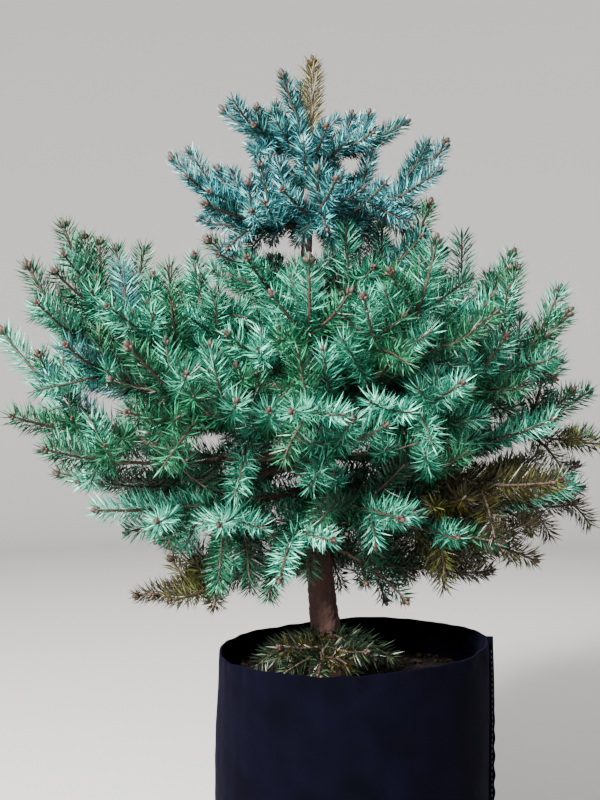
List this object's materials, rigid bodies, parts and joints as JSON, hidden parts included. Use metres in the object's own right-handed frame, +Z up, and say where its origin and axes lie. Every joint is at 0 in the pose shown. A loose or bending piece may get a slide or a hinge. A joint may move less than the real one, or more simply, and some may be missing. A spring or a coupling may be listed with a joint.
{
  "type": "potted blue spruce",
  "caption": "Young blue spruce with whorled, upturned boughs of stiff blue-green needles, standing in a round black felt grow bag filled with compost.",
  "frame": {"origin": "middle of the grow bag's flat underside, on the surface it stands on", "axes": "+Z up along the trunk; +X towards the bag's sewn seam; -Y towards the side seen in the picture"},
  "size_m": [0.6526, 0.5443, 0.9269],
  "materials": {
    "felt": "matt black non-woven felt",
    "compost": "dark, damp, crumbly",
    "trunk_bark": "rough reddish-brown bark",
    "bough_bark": "rough orange-brown bark",
    "needles_straw": "waxy",
    "needles_blue": "waxy",
    "needles_mint": "waxy",
    "needles_green": "waxy",
    "needles_dark": "waxy"
  },
  "bodies": {
    "root": {"bough_main_back": "bough_bark", "bough_main_back_left": "bough_bark", "bough_main_back_right": "bough_bark", "bough_main_far_left": "bough_bark", "bough_main_far_right": "bough_bark", "bough_main_front": "bough_bark", "bough_main_front_left": "bough_bark", "bough_main_front_left_low": "bough_bark", "bough_main_front_low": "bough_bark", "bough_main_front_right": "bough_bark", "bough_main_front_upright": "bough_bark", "bough_main_left": "bough_bark", "bough_main_right": "bough_bark", "grow_bag": "felt", "needles_bottom_back": "needles_dark", "needles_bottom_front": "needles_dark", "needles_bottom_left": "needles_dark", "needles_bottom_right": "needles_dark", "needles_foot_spray": "needles_dark", "needles_leader": "needles_straw", "needles_lower_back": "needles_green", "needles_lower_back_right": "needles_green", "needles_lower_front": "needles_green", "needles_lower_front_left": "needles_green", "needles_lower_front_right": "needles_green", "needles_lower_left": "needles_green", "needles_lower_near_right": "needles_green", "needles_lower_right": "needles_green", "needles_main_back": "needles_mint", "needles_main_back_left": "needles_mint", "needles_main_back_right": "needles_mint", "needles_main_far_left": "needles_mint", "needles_main_far_right": "needles_mint", "needles_main_front": "needles_mint", "needles_main_front_left": "needles_mint", "needles_main_front_left_low": "needles_mint", "needles_main_front_low": "needles_mint", "needles_main_front_right": "needles_mint", "needles_main_front_upright": "needles_mint", "needles_main_left": "needles_mint", "needles_main_right": "needles_mint", "needles_second_back_left": "needles_blue", "needles_second_back_right": "needles_blue", "needles_second_front": "needles_blue", "needles_second_front_left": "needles_blue", "needles_second_left": "needles_blue", "needles_second_right": "needles_blue", "needles_third_back": "needles_mint", "needles_third_back_right": "needles_mint", "needles_third_front_left": "needles_mint", "needles_third_left": "needles_mint", "needles_third_right": "needles_mint", "needles_top_back": "needles_blue", "needles_top_back_right": "needles_blue", "needles_top_front": "needles_blue", "needles_top_left": "needles_blue", "needles_top_right": "needles_blue", "needles_top_steep": "needles_blue", "soil": "compost", "trunk": "trunk_bark"}
  },
  "joints": []
}
